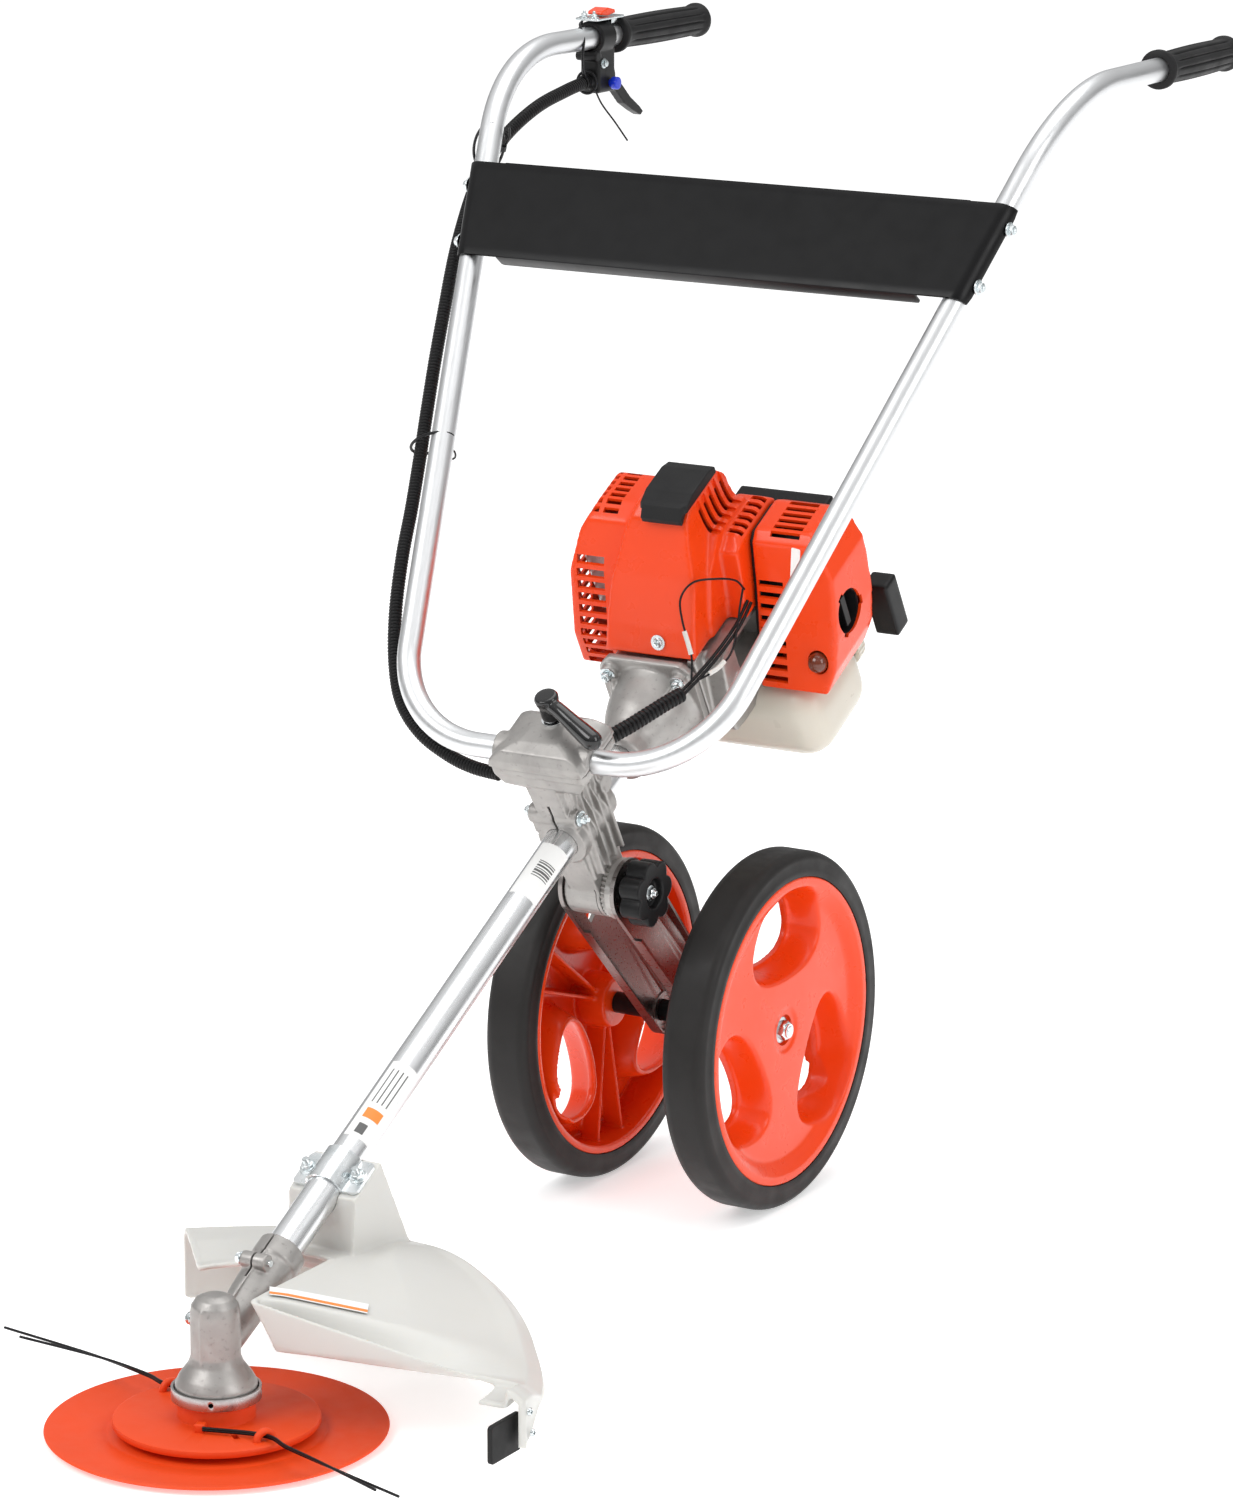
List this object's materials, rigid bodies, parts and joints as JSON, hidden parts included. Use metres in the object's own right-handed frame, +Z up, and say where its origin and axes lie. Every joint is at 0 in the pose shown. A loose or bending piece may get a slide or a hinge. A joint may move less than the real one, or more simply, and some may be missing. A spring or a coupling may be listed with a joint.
{
  "type": "brush cutter",
  "caption": "Wheeled engine brush cutter with a sloping drive shaft, low cutting disc behind a guard, U-shaped handlebar with throttle and an engine over the wheels.",
  "frame": {"origin": "centre of the skid disc's flat underside, on the ground under the cutter's axis", "axes": "+Y runs backwards from the cutting head to the grips, +X to the machine's left side, +Z up"},
  "size_m": [0.5568, 1.2737, 0.9445],
  "materials": {
    "orange_plastic": "smooth",
    "tyre_rubber": "solid, fine grain",
    "aluminium_tube": "satin drawn",
    "cast_aluminium": "cast",
    "steel": "plain",
    "zinc_plated": "zinc plated",
    "black_plastic": "moulded",
    "black_rubber": "ribbed",
    "painted_panel": "satin black",
    "guard_plastic": "off-white",
    "tank_plastic": "natural, translucent",
    "blue_plastic": "smooth",
    "amber_plastic": "soft"
  },
  "bodies": {
    "machine": {"main_pipe": "aluminium_tube", "gear_case": "cast_aluminium", "output_bearing": "steel", "guard": "guard_plastic", "guard_clamp": "zinc_plated", "guard_flap": "black_rubber", "bracket_body": "cast_aluminium", "pipe_clamp_bolt": "zinc_plated", "handle_clamp_cap": "cast_aluminium", "clamp_stud": "zinc_plated", "clutch_housing": "cast_aluminium", "crankcase": "cast_aluminium", "cylinder": "cast_aluminium", "spark_plug": "black_plastic", "engine_cover": "orange_plastic", "cover_cap": "black_rubber", "muffler": "steel", "air_cleaner_cover": "orange_plastic", "carburettor": "cast_aluminium", "fuel_tank": "tank_plastic", "recoil_housing": "black_plastic", "engine_sleeve": "black_plastic"},
    "drive_line": {"drive_shaft": "steel", "pinion": "steel", "clutch_drum": "steel"},
    "cutter": {"output_shaft": "steel", "collar_ring": "steel", "cutter_disc": "orange_plastic", "cutting_line_left": "black_plastic", "cutting_line_right": "black_plastic"},
    "skid": {"skid_disc": "orange_plastic"},
    "crank": {"crank_flywheel": "steel", "clutch_shoes": "cast_aluminium"},
    "piston": {"piston": "aluminium_tube"},
    "clamp_lever": {"clamp_lever": "black_plastic"},
    "swing_arm": {"swing_arm_left": "steel", "swing_arm_right": "steel", "serrated_ring": "cast_aluminium", "pivot_bolt": "zinc_plated", "axle": "zinc_plated", "axle_spacer": "black_plastic"},
    "height_knob": {"height_knob": "black_plastic"},
    "wheel_left": {"wheel_rim_left": "orange_plastic", "tyre_left": "tyre_rubber"},
    "wheel_right": {"wheel_rim_right": "orange_plastic", "tyre_right": "tyre_rubber"},
    "handlebar": {"handlebar_tube": "aluminium_tube", "grip_left": "black_rubber", "grip_right": "black_rubber", "cross_panel": "painted_panel", "throttle_body": "black_plastic", "switch_bracket": "zinc_plated", "throttle_sleeve": "black_plastic"},
    "trigger": {"throttle_trigger": "black_plastic"},
    "lock_button": {"lock_button": "blue_plastic"},
    "stop_switch": {"stop_switch": "orange_plastic"},
    "choke": {"choke_knob": "black_plastic"},
    "primer": {"primer_bulb": "amber_plastic"},
    "starter_handle": {"starter_handle": "black_plastic"},
    "fuel_cap": {"fuel_cap": "tank_plastic"}
  },
  "joints": [
    {"name": "cutter_spin", "type": "hinge", "parent": "machine", "child": "cutter", "pos_m": [0, 0, 0.0657], "axis": [0, 0, 1], "continuous": true},
    {"name": "drive_spin", "type": "hinge", "parent": "machine", "child": "drive_line", "pos_m": [0, 0, 0.0657], "axis": [0, 0.8712, 0.4909], "continuous": true},
    {"name": "skid_spin", "type": "hinge", "parent": "cutter", "child": "skid", "pos_m": [0, 0, 0], "axis": [0, 0, 1], "continuous": true},
    {"name": "crank_spin", "type": "hinge", "parent": "machine", "child": "crank", "pos_m": [0, 0.49136, 0.34257], "axis": [0, 0.8712, 0.4909], "continuous": true},
    {"name": "piston_stroke", "type": "slide", "parent": "machine", "child": "piston", "axis": [0, -0.4909, 0.8712], "range_m": [-0.026, 0]},
    {"name": "clamp_lever_turn", "type": "hinge", "parent": "machine", "child": "clamp_lever", "pos_m": [0.004, 0.46437, 0.45362], "axis": [0, -0.4909, 0.8712], "range_deg": [-30, 180]},
    {"name": "wheel_height", "type": "hinge", "parent": "machine", "child": "swing_arm", "pos_m": [0, 0.54698, 0.29195], "axis": [1, 0, 0], "range_deg": [-30, 18]},
    {"name": "height_knob_turn", "type": "hinge", "parent": "swing_arm", "child": "height_knob", "pos_m": [0, 0.54698, 0.29195], "axis": [1, 0, 0], "continuous": true},
    {"name": "wheel_left_spin", "type": "hinge", "parent": "swing_arm", "child": "wheel_left", "pos_m": [0, 0.683, 0.15], "axis": [1, 0, 0], "continuous": true},
    {"name": "wheel_right_spin", "type": "hinge", "parent": "swing_arm", "child": "wheel_right", "pos_m": [0, 0.683, 0.15], "axis": [1, 0, 0], "continuous": true},
    {"name": "handlebar_tilt", "type": "hinge", "parent": "machine", "child": "handlebar", "pos_m": [0, 0.461, 0.4186], "axis": [1, 0, 0], "range_deg": [-25, 15]},
    {"name": "trigger_pull", "type": "hinge", "parent": "handlebar", "child": "trigger", "pos_m": [-0.26265, 0.986, 0.884], "axis": [1, 0, 0], "range_deg": [0, 28], "stiffness_Nm_per_rad": 0.3, "springref_deg": -17.19},
    {"name": "lock_button_press", "type": "slide", "parent": "handlebar", "child": "lock_button", "axis": [1, 0, 0], "range_m": [-0.002, 0], "stiffness_N_per_m": 200, "springref_m": 0.002},
    {"name": "stop_switch_rock", "type": "hinge", "parent": "handlebar", "child": "stop_switch", "pos_m": [-0.26265, 0.985, 0.93905], "axis": [1, 0, 0], "range_deg": [-7, 7]},
    {"name": "choke_turn", "type": "hinge", "parent": "machine", "child": "choke", "pos_m": [0, 0.70271, 0.50527], "axis": [1, 0, 0], "range_deg": [0, 90]},
    {"name": "primer_press", "type": "slide", "parent": "machine", "child": "primer", "axis": [0, 0.8712, 0.4909], "range_m": [0, 0.003], "stiffness_N_per_m": 300, "springref_m": -0.002},
    {"name": "starter_pull", "type": "slide", "parent": "machine", "child": "starter_handle", "axis": [1, 0, 0], "range_m": [0, 0.02], "stiffness_N_per_m": 200, "springref_m": -0.01},
    {"name": "fuel_cap_turn", "type": "hinge", "parent": "machine", "child": "fuel_cap", "pos_m": [0.088, 0.79121, 0.45414], "axis": [0, 0.8712, 0.4909], "continuous": true}
  ],
  "couplings": [
    {"joint": "drive_spin", "follows": "cutter_spin", "ratio": 1.3571}
  ]
}
